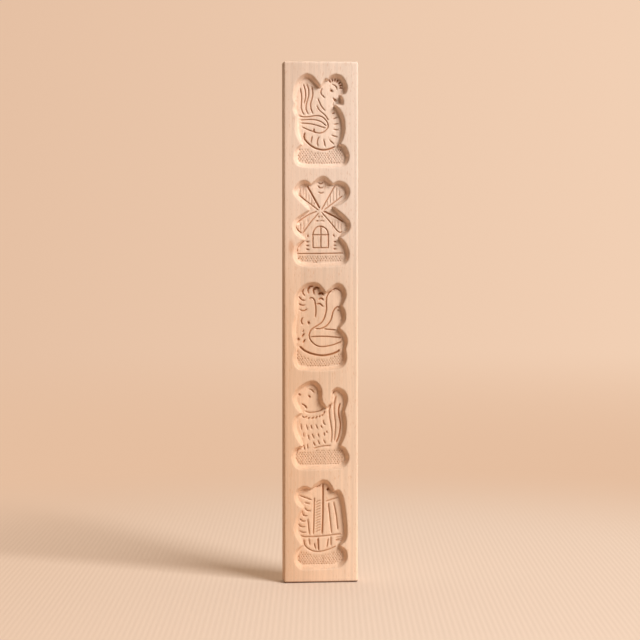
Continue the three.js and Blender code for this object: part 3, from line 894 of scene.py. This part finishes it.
def beech():
    """Bare sanded beech, with its grain up the board, and painted light and shade in its colour"""
    material = bpy.data.materials.new("beech")
    s = Shader(material)
    place = s.node("TexCoord").outputs["Object"]
    axes = s.node("SeparateXYZ", {0: place}).outputs
    colour = beech_tone_and_painted_light(s, place, axes)
    colour, fibre, fleck = grain(s, colour, place)
    colour = marks(s, colour, place)
    colour = cut_patina_and_painted_shade(s, colour, axes)
    relief = s.math("ADD", s.math("MULTIPLY", fibre, 0.7), s.math("MULTIPLY", fleck, -0.5))
    shader = s.node("BsdfPrincipled", {
        "Base Color": colour,
        "Roughness": s.ramp(fibre, 0.2, 0.8, 0.52, 0.66),
        "Normal": s.node("Bump", {"Height": relief, "Strength": 0.18, "Distance": 0.00012}).outputs[0],
        "Specular IOR Level": 0.35,
    })
    s.end(shader.outputs[0])
    return material


# The stage

CAMERA_TURN = math.radians(-6)  # to the left of the board's own front
CAMERA_DISTANCE = 2.1
CAMERA_HEIGHT = 0.348
AIM = Vector((0, 0, 0.2528))
BOARD_MIDDLE = Vector((0, 0, 0.25))
LENS = 122.9
SENSOR = 36.0

# painted shade: the backdrop darker to the left, away from the lamp
BACKDROP_LEFT = linear(229, 191, 162)
BACKDROP_RIGHT = linear(241, 206, 178)
BACKDROP_SHADE_BAND = linear(229, 189, 158)  # painted shade a little above the floor, where the backdrop bends
# painted shade: the paper darker to the left, where the board's shadow reaches far
PAPER_LEFT = linear(220, 196, 176)
PAPER_RIGHT = linear(222, 202, 185)
DARK_ROOM = linear(92, 80, 70)  # the far floor, as the light that it throws back sees it
RIB_PITCH = 0.005
HALF_VIEW = 0.145  # sine of half the camera's view
AMBIENT_FRONT = 0.15  # light from the dark room in front of the board
AMBIENT_BEHIND = 0.85  # light from the backdrop
FRONT_COLOUR = (1, 0.66, 0.4, 1)
BEHIND_COLOUR = (1, 0.79, 0.6, 1)
KEY_TURN = math.radians(41)  # to the right of the board's front
KEY_RISE = math.radians(33)
KEY_DISTANCE = 8.0
KEY_SIZE = 3.8
KEY_POWER = 815.0
FLOOR_RADIUS = 60


def turned_to_camera(shader, way):
    """A place or a direction, with x across the camera's view"""
    inputs = {"Vector": way, "Angle": -CAMERA_TURN}
    return shader.node("VectorRotate", inputs, rotation_type="Z_AXIS").outputs[0]


def backdrop(shader, way):
    """The backdrop's colour in a direction from the camera, with painted shade: darker to the left, away
    from the lamp
    """
    across = shader.node("SeparateXYZ", {0: turned_to_camera(shader, way)}).outputs[0]
    share = shader.ramp(across, -HALF_VIEW, HALF_VIEW, smooth=False)
    return shader.mix(share, BACKDROP_LEFT, BACKDROP_RIGHT)


def paper():
    """Pale paper with fine ribs that run away from the camera, and that turns into the backdrop far off"""
    material = bpy.data.materials.new("paper")
    s = Shader(material)
    place = s.node("TexCoord").outputs["Object"]
    across = s.node("SeparateXYZ", {0: turned_to_camera(s, place)}).outputs[0]
    far = s.length(place)
    wave = s.math("SINE", s.math("MULTIPLY", across, 2 * math.pi / RIB_PITCH))
    rib = s.math("MULTIPLY", wave, s.ramp(far, 0.15, 0.9, 1, 0))
    seen = s.node("LightPath").outputs["Is Camera Ray"]
    dim = s.math("MULTIPLY", s.ramp(far, 0.3, 1.1), s.math("SUBTRACT", 1.0, seen))
    # painted shade: the paper darker to the left
    colour = s.mix(s.ramp(across, -0.3, 0.05, smooth=False), PAPER_LEFT, PAPER_RIGHT)
    colour = s.times(colour, s.ramp(rib, -1, 1, 0.985, 1.01, smooth=False))
    colour = s.mix(dim, colour, DARK_ROOM)
    bump = s.node("Bump", {"Height": rib, "Strength": 0.2, "Distance": 0.0002}).outputs[0]
    lit = s.node("BsdfPrincipled", {
        "Base Color": colour, "Roughness": 0.85, "Normal": bump, "Specular IOR Level": 0.2,
    }).outputs[0]
    from_camera = s.vector("SUBTRACT", place, tuple(camera_spot().xy) + (0,))
    wall = backdrop(s, s.node("VectorMath", {0: from_camera}, operation="NORMALIZE").outputs[0])
    band = s.mix(s.ramp(far, 1.0, 4.0), BACKDROP_SHADE_BAND, wall)
    glow = s.node("Emission", {"Color": band}).outputs[0]
    share = s.math("MULTIPLY", s.ramp(far, 0.35, 1.0), seen)
    s.end(s.node("MixShader", {0: share, 1: lit, 2: glow}).outputs[0])
    return material


def floor():
    """A wide disc that the board stands on"""
    mesh = bmesh.new()
    bmesh.ops.create_circle(mesh, cap_ends=True, radius=FLOOR_RADIUS, segments=96)
    data = bpy.data.meshes.new("floor")
    mesh.to_mesh(data)
    mesh.free()
    disc = bpy.data.objects.new("floor", data)
    bpy.context.scene.collection.objects.link(disc)
    data.materials.append(paper())


def sky():
    """Light from all round, dim in front and bright behind, which the camera sees as the pale backdrop
    with its painted shade
    """
    world = bpy.data.worlds.new("backdrop")
    bpy.context.scene.world = world
    s = Shader(world)
    seen = s.node("LightPath").outputs["Is Camera Ray"]
    way = s.node("TexCoord").outputs["Generated"]
    towards_back = s.node("SeparateXYZ", {0: way}).outputs[1]
    ambient = s.mix(s.ramp(towards_back, -0.4, 0.4), FRONT_COLOUR, BEHIND_COLOUR)
    colour = s.mix(seen, ambient, backdrop(s, way))
    level = s.ramp(towards_back, -0.4, 0.4, AMBIENT_FRONT, AMBIENT_BEHIND)
    strength = s.math("MAXIMUM", level, seen)
    s.end(s.node("Background", {"Color": colour, "Strength": strength}).outputs[0], "OutputWorld")


def key_lamp():
    """A square soft lamp that looks at the board's middle from the right and above"""
    light = bpy.data.lights.new("key", "AREA")
    light.shape = "SQUARE"
    light.size = KEY_SIZE
    light.energy = KEY_POWER
    lamp = bpy.data.objects.new("key", light)
    bpy.context.scene.collection.objects.link(lamp)
    level = math.cos(KEY_RISE)
    way = Vector((math.sin(KEY_TURN) * level, -math.cos(KEY_TURN) * level, math.sin(KEY_RISE)))
    lamp.location = BOARD_MIDDLE + way * KEY_DISTANCE
    lamp.rotation_mode = "QUATERNION"
    lamp.rotation_quaternion = way.to_track_quat("Z", "Y")


def camera_spot():
    """Where the camera stands"""
    across = math.sin(CAMERA_TURN) * CAMERA_DISTANCE
    return Vector((across, -math.cos(CAMERA_TURN) * CAMERA_DISTANCE, CAMERA_HEIGHT))


def camera():
    """A camera with the photograph's view of the board"""
    view = bpy.data.cameras.new("camera")
    view.lens = LENS
    view.sensor_width = SENSOR
    view_object = bpy.data.objects.new("camera", view)
    bpy.context.scene.collection.objects.link(view_object)
    spot = camera_spot()
    view_object.location = spot
    view_object.rotation_mode = "QUATERNION"
    view_object.rotation_quaternion = (spot - AIM).to_track_quat("Z", "Y")
    bpy.context.scene.camera = view_object


board = carved_board()
board.data.materials.append(beech())
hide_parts(BOARD)
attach(board, "root")

floor()
sky()
key_lamp()
camera()
bpy.context.scene.view_settings.view_transform = "Standard"
